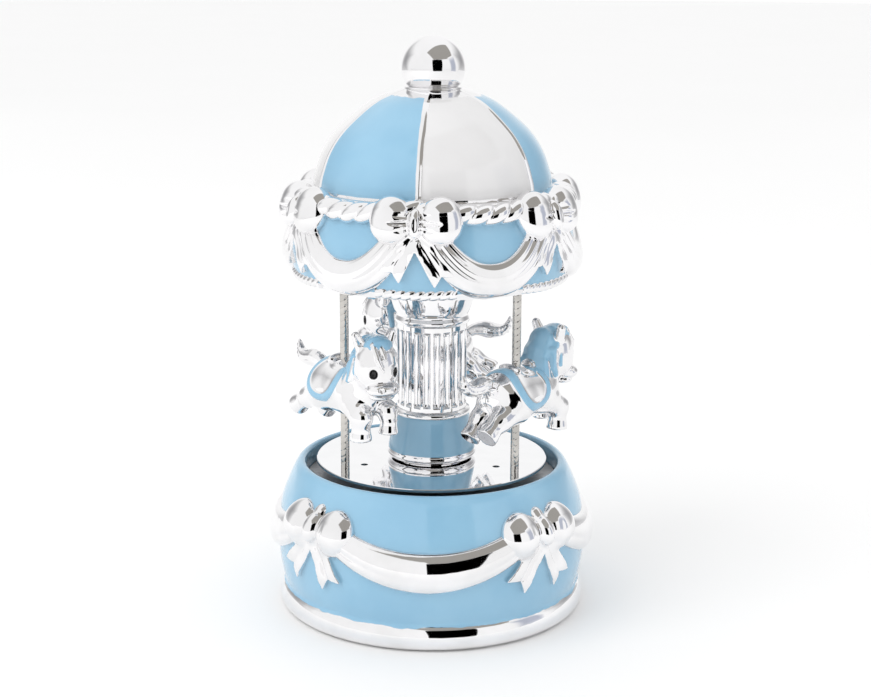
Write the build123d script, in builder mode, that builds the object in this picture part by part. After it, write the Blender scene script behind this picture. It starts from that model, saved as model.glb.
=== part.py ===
"""Carousel music box: a turning carousel on a drum base that holds an 18-note spring movement.

Millimetres, +Z up, origin at the centre of the foot. Angles round the object are measured from the front (-Y)
towards +X, so the point at angle a and radius r is (r sin a, -r cos a).
"""

import math
import os

from build123d import *

os.makedirs("parts", exist_ok=True)

# ---------------------------------------------------------------- driving dimensions
TOP_Z = 200.0
FOOT_LIFT = 0.4  # the felt stands this far below the casting
DISC_TOP, DISC_THICK, DISC_R = 52.9, 1.2, 40.7
LIP_R, LIP_Z = 44.4, 51.2
DECK_Z, DECK_THICK = 44.5, 1.5
CANOPY_BOTTOM, CANOPY_TOP = 118.4, 182.4
ROPE_Z, ROPE_R, ROPE_TUBE = 146.3, 46.0, 3.2
DOME_R, DOME_Z = 41.0, 149.0
BALL_R = 10.9
POLE_R, POLE_RING = 1.5, 33.85
POLE_ANGLES = (-62.0, 58.0, 178.0)
HORSE_Z = (82.3, 80.3, 85.0)
HORSE_YAW = (10.0, -10.0, 0.0)
BOW_ANGLES = [-6.5 + 60 * i for i in range(6)]
BASE_BOW_ANGLES = [-46.5 + 90 * i for i in range(4)]
ROD_R = 2.0
SCREW_R, SCREW_HOLE_R, HEAD_R, HEAD_H = 0.95, 1.0, 1.8, 0.9
PLATE_Z, PLATE_THICK, PLATE_R = 11.5, 1.5, 46.4
BED_TOP = 15.0

# movement: the barrel stands on the main axis, the cylinder runs out from it along +Y
MODULE = 0.4
CROWN_TEETH, PINION_TEETH = 60, 20
WHEEL_TEETH, GOVERNOR_PINION_TEETH, WORM_WHEEL_TEETH = 46, 10, 18
AXIS_Z = 32.0
CYLINDER_R, CYLINDER_Y0, CYLINDER_Y1 = 6.2, 15.6, 35.6
PIN_HEIGHT = 0.6
WHEEL_Y0, WHEEL_FACE = 36.0, 1.2
GOVERNOR_X = MODULE * (WHEEL_TEETH + GOVERNOR_PINION_TEETH) / 2
WORM_R = 1.6
WORM_X = GOVERNOR_X + MODULE * WORM_WHEEL_TEETH / 2 + WORM_R
WORM_Y = 31.6
BARREL_R, BARREL_Z0, BARREL_Z1 = 13.0, 17.0, 26.0


# ---------------------------------------------------------------- helpers
def around(angle, radius, z=0.0):
    """The point at that angle from the front, radius and height."""
    a = math.radians(angle)
    return Vector(radius * math.sin(a), -radius * math.cos(a), z)


def save(part, name):
    """Labels a finished piece and writes its STEP file."""
    part.label = name
    export_step(part, f"parts/{name}.step")


def screws(name, centres, under_head, length, head_down):
    """Identical pan-head screws, one solid each. under_head is the height of the bearing face."""
    way = -1 if head_down else 1
    head_side, shank_side = (Align.MAX, Align.MIN) if head_down else (Align.MIN, Align.MAX)
    with BuildPart() as group:
        for centre in centres:
            with Locations((centre.X, centre.Y, under_head)):
                Cylinder(HEAD_R, HEAD_H, align=(Align.CENTER, Align.CENTER, head_side))
                Cylinder(SCREW_R, length, align=(Align.CENTER, Align.CENTER, shank_side))
            with Locations((centre.X, centre.Y, under_head + way * HEAD_H)):
                Box(2.4, 0.5, 0.8, mode=Mode.SUBTRACT)
    save(group.part, name)


def gear_sketch(teeth, bore, backlash=0.22):
    """A spur gear outline with straight-sided teeth, thinner than half the pitch by the backlash."""
    pitch_r = MODULE * teeth / 2
    root_r, tip_r = pitch_r - 0.5, pitch_r + 0.35
    pitch_half = (math.pi * MODULE / 2 - backlash) / 2
    with BuildSketch() as outline:
        Circle(root_r)
        for i in range(teeth):
            with BuildSketch(mode=Mode.PRIVATE) as tooth:
                with BuildLine():
                    Polyline((root_r - 0.2, -pitch_half - 0.12), (tip_r, -pitch_half + 0.11),
                             (tip_r, pitch_half - 0.11), (root_r - 0.2, pitch_half + 0.12), close=True)
                make_face()
            add(tooth.sketch.rotate(Axis.Z, 360 * i / teeth))
        Circle(bore, mode=Mode.SUBTRACT)
    return outline.sketch


def bow(angle, z, wall_r, lobe_r, spread):
    """A ribbon bow's two lobes on a round wall, added to the part in hand."""
    turn = math.degrees(spread / wall_r)
    with Locations(*[around(angle + side * turn, wall_r, z) for side in (-1, 1)]):
        Sphere(lobe_r)


def swag(angle, half_span, wall_r, z_end, z_middle, tube_r):
    """A garland between two bows, as an arc tube added to the part in hand."""
    start = around(angle - half_span, wall_r, z_end)
    middle = around(angle, wall_r, z_middle)
    end = around(angle + half_span, wall_r, z_end)
    with BuildLine(mode=Mode.PRIVATE) as path:
        ThreePointArc(start, middle, end)
    with BuildSketch(Plane(origin=start, z_dir=path.line % 0), mode=Mode.PRIVATE) as section:
        Circle(tube_r)
    sweep(section.sketch, path=path.line)


# ---------------------------------------------------------------- drum base
SCREW_RING_TOP, SCREW_RING_BOTTOM = 41.2, 44.5
deck_screw_points = [around(a, SCREW_RING_TOP) for a in (0, 120, 240)]
plate_screw_points = [around(a, SCREW_RING_BOTTOM) for a in (60, 180, 300)]

with BuildPart() as base_shell:
    for bow_angle in BASE_BOW_ANGLES:
        swag(bow_angle + 45, 38, 51.4, 38.0, 29.0, 6.2)
        bow(bow_angle, 39.2, 51.6, 6.05, 5.9)
    with Locations((0, 0, 30)):
        Cylinder(50.3, 50, mode=Mode.SUBTRACT)
    with BuildSketch(Plane.XZ):
        with BuildLine():
            foot = Spline((50.8, FOOT_LIFT), (53.6, 2.0), (54.1, 4.6), (53.3, 7.8), (52.4, 9.8))
            body = Spline(foot @ 1, (53.6, 14), (54.4, 22), (54.2, 31), (53.1, 38.5), (50.8, 44.8), (47.8, 50.3),
                          (46.2, 52.0), (45.0, 52.1), (LIP_R, LIP_Z))
            Polyline(body @ 1, (LIP_R, DECK_Z), (38, DECK_Z), (38, DECK_Z - 3), (49.2, DECK_Z - 3), (49.5, 16),
                     (42.5, 16), (42.5, PLATE_Z + PLATE_THICK), (46.6, PLATE_Z + PLATE_THICK), (46.6, FOOT_LIFT),
                     (47.4, FOOT_LIFT), (47.4, 1.0), (49.8, 1.0), (49.8, FOOT_LIFT), foot @ 0)
        make_face()
    revolve(axis=Axis.Z)
    for point in deck_screw_points:
        with Locations((point.X, point.Y, DECK_Z)):
            Cylinder(SCREW_HOLE_R, 3, align=(Align.CENTER, Align.CENTER, Align.MAX), mode=Mode.SUBTRACT)
    for point in plate_screw_points:
        with Locations((point.X, point.Y, PLATE_Z + PLATE_THICK)):
            Cylinder(SCREW_HOLE_R, 3, align=(Align.CENTER, Align.CENTER, Align.MIN), mode=Mode.SUBTRACT)
save(base_shell.part, "base_shell")

with BuildPart() as felt_ring:
    with BuildSketch():
        Circle(49.8)
        Circle(47.4, mode=Mode.SUBTRACT)
    extrude(amount=1.0)
save(felt_ring.part, "felt_ring")

BED_SCREWS = [Vector(-15, -12), Vector(15, -12), Vector(-10, 30)]
with BuildPart() as base_plate:
    with BuildSketch(Plane.XY.offset(PLATE_Z)):
        Circle(PLATE_R)
        Circle(4.5, mode=Mode.SUBTRACT)
        with Locations(*[(p.X, p.Y) for p in plate_screw_points + BED_SCREWS]):
            Circle(SCREW_HOLE_R, mode=Mode.SUBTRACT)
        with PolarLocations(32, 5, start_angle=-100, angular_range=50, endpoint=True):
            SlotOverall(12, 2, mode=Mode.SUBTRACT)
    extrude(amount=PLATE_THICK)
save(base_plate.part, "base_plate")
screws("base_plate_screws", plate_screw_points, PLATE_Z, 4.2, True)

with BuildPart() as deck:
    with BuildSketch(Plane.XY.offset(DECK_Z)):
        Circle(44.2)
        Circle(7.0, mode=Mode.SUBTRACT)
        with Locations(*[(p.X, p.Y) for p in deck_screw_points]):
            Circle(SCREW_HOLE_R, mode=Mode.SUBTRACT)
    extrude(amount=DECK_THICK)
save(deck.part, "deck")
screws("deck_screws", deck_screw_points, DECK_Z + DECK_THICK, 4.0, False)

BUSH_TOP = DECK_Z + DECK_THICK + 1.0
with BuildPart() as deck_bush:
    with BuildSketch(Plane.XY.offset(DECK_Z)):
        Circle(7.0)
    extrude(amount=DECK_THICK)
    with BuildSketch(Plane.XY.offset(DECK_Z + DECK_THICK)):
        Circle(9.0)
    extrude(amount=1.0)
    with BuildSketch(Plane.XY.offset(DECK_Z)):
        Circle(4.05)
    extrude(amount=3, mode=Mode.SUBTRACT)
save(deck_bush.part, "deck_bush")

# ---------------------------------------------------------------- winding key and arbor
ARBOR_R, ARBOR_HOLE_R = 1.6, 1.65
KEY_TOP = 10.5
with BuildPart() as winding_key:
    with BuildSketch(Plane.XZ):
        with BuildLine():
            Polyline((ARBOR_R, 5.0), (0, 5.0), (0, 3.0), (2.6, 3.0), (3.4, 3.8), (3.4, KEY_TOP),
                     (ARBOR_R, KEY_TOP), close=True)
        make_face()
    revolve(axis=Axis.Z)
    with BuildSketch(Plane.XZ):
        with Locations((-7.2, 6.6), (7.2, 6.6)):
            Ellipse(5.2, 3.5)
            Ellipse(2.4, 1.7, mode=Mode.SUBTRACT)
    extrude(amount=0.9, both=True)
    with BuildSketch(Plane.XY.offset(5.0)):
        Circle(ARBOR_R)
    extrude(amount=6, mode=Mode.SUBTRACT)
save(winding_key.part, "winding_key")

with BuildPart() as winding_arbor:
    with BuildSketch(Plane.XY.offset(5.0)):
        Circle(ARBOR_R)
    extrude(amount=25.4 - 5.0)
    with BuildSketch(Plane.XY.offset(18.3)):
        Circle(3.0)
    extrude(amount=7.1)
    chamfer(winding_arbor.edges().filter_by(GeomType.CIRCLE).group_by(Axis.Z)[-1], 0.2)
save(winding_arbor.part, "winding_arbor")

with BuildPart() as clutch_spring:
    with BuildLine():
        coil = Helix(pitch=0.62, height=1.1, radius=2.3, center=(0, 0, 15.26))
    with BuildSketch(Plane(origin=coil @ 0, z_dir=coil % 0)):
        Circle(0.25)
    sweep(is_frenet=True)
save(clutch_spring.part, "clutch_spring")

# ---------------------------------------------------------------- spring barrel, on the turning side
with BuildPart() as spring_barrel:
    with BuildSketch(Plane.XY.offset(BARREL_Z0)):
        Circle(BARREL_R)
    extrude(amount=BARREL_Z1 - BARREL_Z0)
    with BuildSketch(Plane.XY.offset(BARREL_Z0 + 1)):
        Circle(BARREL_R - 1)
    extrude(amount=10, mode=Mode.SUBTRACT)
    with BuildSketch(Plane.XY.offset(BARREL_Z0)):
        Circle(ARBOR_HOLE_R)
    extrude(amount=2, mode=Mode.SUBTRACT)
save(spring_barrel.part, "spring_barrel")

SPRING_R0, SPRING_R1, SPRING_TURNS, SPRING_BAND = 3.6, 11.3, 9, 0.4
with BuildPart() as mainspring:
    with BuildSketch(Plane.XY.offset(BARREL_Z0 + 1)):
        with BuildLine():
            steps = 12 * SPRING_TURNS
            radii = [SPRING_R0 + (SPRING_R1 - SPRING_R0) * i / steps for i in range(steps + 1)]
            inner = Spline(*[around(30 * i, r) for i, r in enumerate(radii)])
            outer = Spline(*[around(30 * i, r + SPRING_BAND) for i, r in enumerate(radii)])
            Line(inner @ 0, outer @ 0)
            Line(inner @ 1, outer @ 1)
        make_face()
    extrude(amount=7.6)
save(mainspring.part, "mainspring")

CROWN_PITCH_Z = AXIS_Z - MODULE * PINION_TEETH / 2
with BuildPart() as barrel_cover:
    with BuildSketch(Plane.XY.offset(BARREL_Z1)):
        Circle(BARREL_R)
    extrude(amount=1.2)
    with BuildSketch(Plane.YZ.offset(11.4)) as crown_tooth:
        with BuildLine():
            Polyline((-0.3, BARREL_Z1 + 1.0), (-0.12, CROWN_PITCH_Z + 0.35), (0.12, CROWN_PITCH_Z + 0.35),
                     (0.3, BARREL_Z1 + 1.0), close=True)
        make_face()
    tooth_solid = extrude(amount=1.2, mode=Mode.PRIVATE)
    half_pitch = 180 / CROWN_TEETH
    add([tooth_solid.rotate(Axis.Z, 90 + half_pitch + 360 * i / CROWN_TEETH) for i in range(CROWN_TEETH)])
    with BuildSketch(Plane.XY.offset(BARREL_Z1)):
        Circle(ROD_R)
    extrude(amount=2, mode=Mode.SUBTRACT)
save(barrel_cover.part, "barrel_cover")

SPINDLE_TOP = 43.0
with BuildPart() as drive_spindle:
    with BuildSketch(Plane.XY.offset(BARREL_Z1)):
        Circle(ROD_R)
    extrude(amount=SPINDLE_TOP - BARREL_Z1)
    with BuildSketch(Plane.XY.offset(BARREL_Z1 + 1.2)):
        Circle(4.5)
    extrude(amount=1.2)
save(drive_spindle.part, "drive_spindle")

# ---------------------------------------------------------------- bedplate and fixed parts of the movement
COMB_SCREWS = [Vector(-19.5, 20.0), Vector(-19.5, 31.0)]
GOVERNOR_SCREW = [Vector(18.0, 31.6)]
with BuildPart() as bedplate:
    with BuildSketch(Plane.XY.offset(PLATE_Z + PLATE_THICK)):
        with Locations((0, 12.5)):
            Rectangle(47, 57)
        Circle(42.2, mode=Mode.INTERSECT)
        Circle(ARBOR_HOLE_R, mode=Mode.SUBTRACT)
        with Locations(*[(p.X, p.Y) for p in BED_SCREWS + GOVERNOR_SCREW]):
            Circle(SCREW_HOLE_R, mode=Mode.SUBTRACT)
    extrude(amount=BED_TOP - PLATE_Z - PLATE_THICK)
save(bedplate.part, "bedplate")
screws("bedplate_screws", BED_SCREWS, PLATE_Z, 3.3, True)


def post(name, x0, x1, y0, thickness, top, holes):
    """An upright bearing plate on the bedplate. holes are (x, radius) at the height of the cylinder's axis."""
    with BuildPart() as plate:
        with BuildSketch(Plane.XZ.offset(-y0)):
            with Locations(((x0 + x1) / 2, (BED_TOP + top) / 2)):
                RectangleRounded(x1 - x0, top - BED_TOP, 0.8)
            with Locations(((x0 + x1) / 2, BED_TOP + 1.0)):
                Rectangle(x1 - x0, 2.0)
            for x, r in holes:
                with Locations((x, AXIS_Z)):
                    Circle(r, mode=Mode.SUBTRACT)
        extrude(amount=-thickness)
    save(plate.part, name)


SHAFT_R, SMALL_SHAFT_R, RUNNING = 0.8, 0.6, 0.05
post("inner_bearing_post", -4.0, 4.0, 13.6, 1.0, 36.5, [(0, SHAFT_R + RUNNING)])
outer_holes = [(0, SHAFT_R + RUNNING), (GOVERNOR_X, SMALL_SHAFT_R + RUNNING)]
post("outer_bearing_post", -4.0, 14.2, 38.0, 1.2, 36.5, outer_holes)
post("governor_post", 8.8, 13.6, 28.6, 1.0, 34.5, [(GOVERNOR_X, SMALL_SHAFT_R + RUNNING)])

with BuildPart() as comb_heel:
    with BuildSketch(Plane.XY.offset(BED_TOP)):
        with Locations((-19.5, 25.6)):
            Rectangle(7, 19.6)
    extrude(amount=AXIS_Z - 0.5 - BED_TOP)
    with Locations(*[(p.X, p.Y, AXIS_Z - 0.5) for p in COMB_SCREWS]):
        Hole(SCREW_HOLE_R, depth=7)
save(comb_heel.part, "comb_heel")

NOTES, NOTE_PITCH = 18, 1.08
COMB_TIP_X = -(CYLINDER_R + PIN_HEIGHT + 0.35)
with BuildPart() as comb:
    with BuildSketch(Plane.XY.offset(AXIS_Z - 0.5)):
        with BuildLine():
            Polyline((-23, 15.8), (-23, 35.4), (COMB_TIP_X, 35.4), (COMB_TIP_X, 15.8), close=True)
        make_face()
        for note in range(NOTES - 1):
            slot_end = -16.5 + 4.5 * note / NOTES
            with Locations(((slot_end + COMB_TIP_X + 1) / 2, 15.9 + NOTE_PITCH * (note + 1))):
                Rectangle(COMB_TIP_X + 1 - slot_end, 0.24, mode=Mode.SUBTRACT)
        with Locations(*[(p.X, p.Y) for p in COMB_SCREWS]):
            Circle(SCREW_HOLE_R, mode=Mode.SUBTRACT)
    extrude(amount=1.0)
save(comb.part, "comb")
screws("comb_screws", COMB_SCREWS, AXIS_Z + 0.5, 6.0, False)

FRAME_X0, FRAME_X1, FRAME_TOP = 14.0, 21.9, 41.0
with BuildPart() as governor_frame:
    with BuildSketch(Plane.XZ.offset(-28.6)):
        with BuildLine():
            Polyline((FRAME_X1 + 1.2, BED_TOP), (FRAME_X1 + 1.2, FRAME_TOP), (FRAME_X0, FRAME_TOP),
                     (FRAME_X0, FRAME_TOP - 1.0), (FRAME_X1, FRAME_TOP - 1.0), (FRAME_X1, 26.2),
                     (FRAME_X0, 26.2), (FRAME_X0, 25.0), (FRAME_X1, 25.0), (FRAME_X1, BED_TOP + 1.2),
                     (15.4, BED_TOP + 1.2), (15.4, BED_TOP), close=True)
        make_face()
    extrude(amount=-6.0)
    with Locations((WORM_X, WORM_Y, 35)):
        Cylinder(0.5 + RUNNING, 20, mode=Mode.SUBTRACT)
    with Locations((GOVERNOR_SCREW[0].X, GOVERNOR_SCREW[0].Y, BED_TOP)):
        Cylinder(SCREW_HOLE_R, 4, mode=Mode.SUBTRACT)
save(governor_frame.part, "governor_frame")
screws("governor_screw", GOVERNOR_SCREW, BED_TOP + 1.2, 3.0, False)

# ---------------------------------------------------------------- music cylinder
def along_y(sketch, x, y0, face):
    """Extrudes a flat outline into a wheel that turns on an axis along +Y at height AXIS_Z."""
    wheel = extrude(Plane.XY * sketch, amount=face)
    return wheel.rotate(Axis.X, -90).translate((x, y0, AXIS_Z))


with BuildPart() as music_cylinder:
    with BuildSketch(Plane.XZ.offset(-CYLINDER_Y0)):
        with Locations((0, AXIS_Z)):
            Circle(CYLINDER_R)
            Circle(SHAFT_R, mode=Mode.SUBTRACT)
    extrude(amount=-(CYLINDER_Y1 - CYLINDER_Y0))
    for track in range(NOTES):
        for beat in range(4):
            turn = (track * 137.5 + beat * 97.0) % 360
            y = 16.44 + NOTE_PITCH * track
            with Locations(Location((0, y, AXIS_Z), (0, turn, 0))):
                with Locations((0, 0, CYLINDER_R - 0.2)):
                    Cylinder(0.2, PIN_HEIGHT + 0.2, align=(Align.CENTER, Align.CENTER, Align.MIN))
save(music_cylinder.part, "music_cylinder")

with BuildPart() as cylinder_shaft:
    with BuildSketch(Plane.XZ.offset(-11.0)):
        with Locations((0, AXIS_Z)):
            Circle(SHAFT_R)
    extrude(amount=-28.6)
save(cylinder_shaft.part, "cylinder_shaft")
save(along_y(gear_sketch(PINION_TEETH, SHAFT_R), 0, 11.4, 1.2), "cylinder_pinion")
save(along_y(gear_sketch(WHEEL_TEETH, SHAFT_R), 0, WHEEL_Y0, WHEEL_FACE), "cylinder_wheel")

# ---------------------------------------------------------------- governor
with BuildPart() as governor_shaft:
    with BuildSketch(Plane.XZ.offset(-28.2)):
        with Locations((GOVERNOR_X, AXIS_Z)):
            Circle(SMALL_SHAFT_R)
    extrude(amount=-11.4)
save(governor_shaft.part, "governor_shaft")
pinion = gear_sketch(GOVERNOR_PINION_TEETH, SMALL_SHAFT_R).rotate(Axis.Z, 180 / GOVERNOR_PINION_TEETH)
save(along_y(pinion, GOVERNOR_X, WHEEL_Y0, WHEEL_FACE), "governor_pinion")
worm_wheel = gear_sketch(WORM_WHEEL_TEETH, SMALL_SHAFT_R, backlash=0.3)
save(along_y(worm_wheel, GOVERNOR_X, WORM_Y - 0.4, 0.8), "worm_wheel")

WORM_LEAD = math.pi * MODULE
WORM_TURNS = 5
with BuildPart() as worm:
    with Locations((0, 0, 25.3)):
        Cylinder(0.5, 15.6, align=(Align.CENTER, Align.CENTER, Align.MIN))
    with Locations((0, 0, AXIS_Z)):
        Cylinder(1.15, WORM_LEAD * (WORM_TURNS + 0.6))
    with BuildLine():
        thread = Helix(pitch=WORM_LEAD, height=WORM_LEAD * WORM_TURNS, radius=1.1)
    with BuildSketch(Plane(origin=thread @ 0, x_dir=(1, 0, 0), z_dir=thread % 0)):
        with BuildLine():
            Polyline((-0.1, -0.24), (0.85, -0.12), (0.85, 0.12), (-0.1, 0.24), close=True)
        make_face()
    thread_solid = sweep(is_frenet=True, mode=Mode.PRIVATE)
    add(thread_solid.translate((0, 0, AXIS_Z - WORM_LEAD * WORM_TURNS / 2)))
worm_solid = worm.part.rotate(Axis.Z, 180).translate((WORM_X, WORM_Y, 0))
save(worm_solid, "worm")

with BuildPart() as air_brake:
    with Locations((WORM_X, WORM_Y, 37.9)):
        Cylinder(1.2, 2.4)
        Box(9.6, 0.4, 3.0)
        Cylinder(0.5, 6, mode=Mode.SUBTRACT)
save(air_brake.part, "air_brake")

# ---------------------------------------------------------------- turntable and mirror disc
DISC_UNDER = DISC_TOP - DISC_THICK
with BuildPart() as turntable_hub:
    with BuildSketch(Plane.XZ):
        with BuildLine():
            Polyline((ROD_R, 36.0), (4.0, 36.0), (4.0, BUSH_TOP + 0.1), (6.5, BUSH_TOP + 0.1), (6.5, 49.6),
                     (17.0, 49.6), (17.0, DISC_UNDER), (ROD_R, DISC_UNDER), close=True)
        make_face()
    revolve(axis=Axis.Z)
save(turntable_hub.part, "turntable_hub")

SPOT_HOLE_R, SPOT_RING = 1.25, 26.5
with BuildPart() as mirror_disc:
    with BuildSketch(Plane.XY.offset(DISC_UNDER)):
        Circle(DISC_R)
        Circle(ROD_R, mode=Mode.SUBTRACT)
        for angle in POLE_ANGLES:
            with Locations(around(angle, POLE_RING)):
                Circle(POLE_R, mode=Mode.SUBTRACT)
            with Locations(around(angle, SPOT_RING)):
                Circle(SPOT_HOLE_R, mode=Mode.SUBTRACT)
    extrude(amount=DISC_THICK)
    chamfer(mirror_disc.edges().filter_by(GeomType.CIRCLE).group_by(SortBy.RADIUS)[-1], 0.2)
save(mirror_disc.part, "mirror_disc")

# ---------------------------------------------------------------- centre column
CEILING_Z, CEILING_THICK = 119.5, 1.5
COLUMN_R, COLUMN_BORE, FLUTES, FLUTE_R = 12.3, 9.0, 24, 1.25
RING_TOP, PEDESTAL_TOP, SHAFT_TOP = 56.0, 71.4, 101.4

with BuildPart() as pedestal_ring:
    with BuildSketch(Plane.XZ):
        with BuildLine():
            moulding = Spline((14.2, DISC_TOP), (15.0, 53.4), (15.5, 54.6), (15.4, RING_TOP))
            Polyline(moulding @ 1, (COLUMN_BORE, RING_TOP), (COLUMN_BORE, DISC_TOP), moulding @ 0)
        make_face()
    revolve(axis=Axis.Z)
save(pedestal_ring.part, "pedestal_ring")

with BuildPart() as column_pedestal:
    with BuildSketch(Plane.XZ):
        with BuildLine():
            sweep_in = Spline((15.2, RING_TOP), (14.9, 59.0), (14.0, 63.5), (13.3, 68.4))
            ring = ThreePointArc(sweep_in @ 1, (13.4, 69.9), (COLUMN_R, PEDESTAL_TOP))
            Polyline(ring @ 1, (COLUMN_BORE, PEDESTAL_TOP), (COLUMN_BORE, RING_TOP), sweep_in @ 0)
        make_face()
    revolve(axis=Axis.Z)
save(column_pedestal.part, "column_pedestal")

with BuildPart() as column_shaft:
    with BuildSketch(Plane.XY.offset(PEDESTAL_TOP)):
        Circle(COLUMN_R)
        Circle(COLUMN_BORE, mode=Mode.SUBTRACT)
    extrude(amount=SHAFT_TOP - PEDESTAL_TOP)
    with BuildSketch(Plane.XY.offset(PEDESTAL_TOP + 1.0)):
        with PolarLocations(COLUMN_R + 0.8, FLUTES):
            Circle(FLUTE_R)
    extrude(amount=SHAFT_TOP - PEDESTAL_TOP - 2.0, mode=Mode.SUBTRACT)
save(column_shaft.part, "column_shaft")

with BuildPart() as column_capital:
    with BuildSketch(Plane.XZ):
        with BuildLine():
            flare = Spline((COLUMN_R, SHAFT_TOP), (12.6, 104.0), (13.9, 107.9), (14.6, 111.0), (15.4, 115.0))
            Polyline(flare @ 1, (15.4, CEILING_Z), (ROD_R, CEILING_Z), (ROD_R, 108.0), (COLUMN_BORE, SHAFT_TOP),
                     flare @ 0)
        make_face()
    revolve(axis=Axis.Z)
save(column_capital.part, "column_capital")

with BuildPart() as tie_rod:
    with BuildSketch(Plane.XY.offset(SPINDLE_TOP + 0.2)):
        Circle(ROD_R)
    extrude(amount=188.0 - SPINDLE_TOP - 0.2)
save(tie_rod.part, "tie_rod")

# ---------------------------------------------------------------- poles and their nuts
NUT_H = 1.6
POLE_TOP = CEILING_Z + CEILING_THICK + NUT_H + 0.4
for number, angle in enumerate(POLE_ANGLES, 1):
    with BuildPart() as pole:
        with Locations(around(angle, POLE_RING, DISC_UNDER - NUT_H - 0.2)):
            Cylinder(POLE_R, POLE_TOP - DISC_UNDER + NUT_H + 0.2, align=(Align.CENTER, Align.CENTER, Align.MIN))
    save(pole.part, f"pole_{number}")


def nuts(name, z):
    """Three hexagon nuts on the poles, standing on the plane z."""
    with BuildPart() as group:
        with BuildSketch(Plane.XY.offset(z)):
            for angle in POLE_ANGLES:
                with Locations(around(angle, POLE_RING)):
                    RegularPolygon(2.9, 6)
                    Circle(POLE_R, mode=Mode.SUBTRACT)
        extrude(amount=NUT_H)
    save(group.part, name)


nuts("pole_nuts_lower", DISC_UNDER - NUT_H)
nuts("pole_nuts_upper", CEILING_Z + CEILING_THICK)


# ---------------------------------------------------------------- horses
def limb(start, end, r0, r1):
    """A tapered limb between two points with a ball at each end, added to the part in hand."""
    a, b = Vector(*start), Vector(*end)
    with Locations(Plane(origin=(a + b) * 0.5, z_dir=b - a).location):
        Cone(r0, r1, (b - a).length)
    with Locations(a):
        Sphere(r0 * 1.07)
    with Locations(b):
        Sphere(r1 * 1.07)


def horse():
    """A galloping pony about its pole: +X ahead, +Y to its left, the origin on the pole at the middle of its body."""
    with BuildPart() as pony:
        with Locations((-4.7, 0, -0.3)):
            Sphere(8.2)
        with Locations((8.8, 0, -0.6)):
            Sphere(8.6)
        with Locations((2.05, 0, 0)):
            Cylinder(8.0, 14, rotation=(0, 90, 0))
        with Locations((2.8, 0, 7.0)):
            Cylinder(4.6, 6.4)
        limb((12.3, 0, 3.0), (18.0, 0, 12.5), 7.0, 5.4)
        limb((19.8, -0.6, 13.0), (22.9, -1.4, 5.0), 6.4, 4.3)
        for side in (-1, 1):
            limb((17.2, 4.6 * side, 17.0), (16.9, 6.2 * side, 20.4), 1.9, 1.2)
            limb((-9.2, 4.2 * side, -3.5), (-16.7, 4.4 * side, -8.0), 3.6, 2.4)
            limb((-16.7, 4.4 * side, -8.0), (-21.2, 4.4 * side, -10.8), 2.4, 2.6)
        limb((13.3, 4.0, -4.0), (19.6, 4.4, -7.0), 3.6, 2.4)
        limb((19.6, 4.4, -7.0), (19.2, 4.4, -11.2), 2.4, 2.2)
        limb((13.0, -4.2, -4.5), (17.2, -4.6, -7.6), 3.6, 2.6)
        limb((17.2, -4.6, -7.6), (16.8, -4.6, -11.8), 2.5, 2.2)
        limb((-11.7, 0, 4.0), (-16.7, 0, 6.4), 1.6, 2.6)
        limb((-16.7, 0, 6.4), (-26.4, 0, 8.6), 2.6, 1.0)
        Cylinder(POLE_R, 40, mode=Mode.SUBTRACT)
    return pony.part


pony_solid = horse()
for number, (angle, height, yaw) in enumerate(zip(POLE_ANGLES, HORSE_Z, HORSE_YAW), 1):
    placed = Location(around(angle, POLE_RING, height), (0, 0, angle + yaw)) * pony_solid
    save(placed, f"horse_{number}")

# ---------------------------------------------------------------- canopy
CEILING_SCREWS = [around(a, 42.2) for a in (30, 150, 270)]
LEDGE_R, BELL_BORE = 40.0, 44.6
with BuildPart() as canopy_valance:
    with Locations((0, 0, ROPE_Z)):
        Torus(ROPE_R, ROPE_TUBE)
    for bow_angle in BOW_ANGLES:
        swag(bow_angle + 30, 27, 46.2, 141.0, 126.0, 4.2)
        bow(bow_angle, 143.8, 46.6, 5.4, 5.6)
    with Locations((0, 0, 134.0)):
        Cylinder(45.1, 40, mode=Mode.SUBTRACT)
    with BuildSketch(Plane.XZ):
        with BuildLine():
            bell = Spline((46.2, CANOPY_BOTTOM), (47.8, 121.5), (48.6, 127.0), (48.4, 133.0), (47.2, 139.0),
                          (45.9, 143.5))
            Polyline(bell @ 1, (45.7, DOME_Z), (36.0, DOME_Z), (36.0, DOME_Z - 1.6), (42.0, DOME_Z - 1.6),
                     (43.4, 142.5), (BELL_BORE, 138.0), (BELL_BORE, 124.5), (LEDGE_R, 123.6),
                     (LEDGE_R, CEILING_Z + CEILING_THICK), (44.4, CEILING_Z + CEILING_THICK),
                     (44.4, CANOPY_BOTTOM), bell @ 0)
        make_face()
    revolve(axis=Axis.Z)
    for point in CEILING_SCREWS:
        with Locations((point.X, point.Y, CEILING_Z + CEILING_THICK)):
            Cylinder(SCREW_HOLE_R, 2.4, align=(Align.CENTER, Align.CENTER, Align.MIN), mode=Mode.SUBTRACT)
save(canopy_valance.part, "canopy_valance")

with BuildPart() as canopy_dome:
    with BuildSketch(Plane.XZ):
        with BuildLine():
            dome = Spline((DOME_R, DOME_Z), (40.2, 154.6), (37.6, 162.0), (33.2, 168.2), (27.4, 173.6), (20.6, 178.2),
                          (13.0, 180.9), (9.4, 182.0))
            Polyline(dome @ 1, (8.8, CANOPY_TOP), (ROD_R, CANOPY_TOP), (ROD_R, 179.5), (8.0, 179.4), (19.5, 175.6),
                     (25.8, 171.3), (31.2, 166.2), (35.4, 160.4), (37.8, 153.6), (38.4, DOME_Z), dome @ 0)
        make_face()
    revolve(axis=Axis.Z)
save(canopy_dome.part, "canopy_dome")

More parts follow.
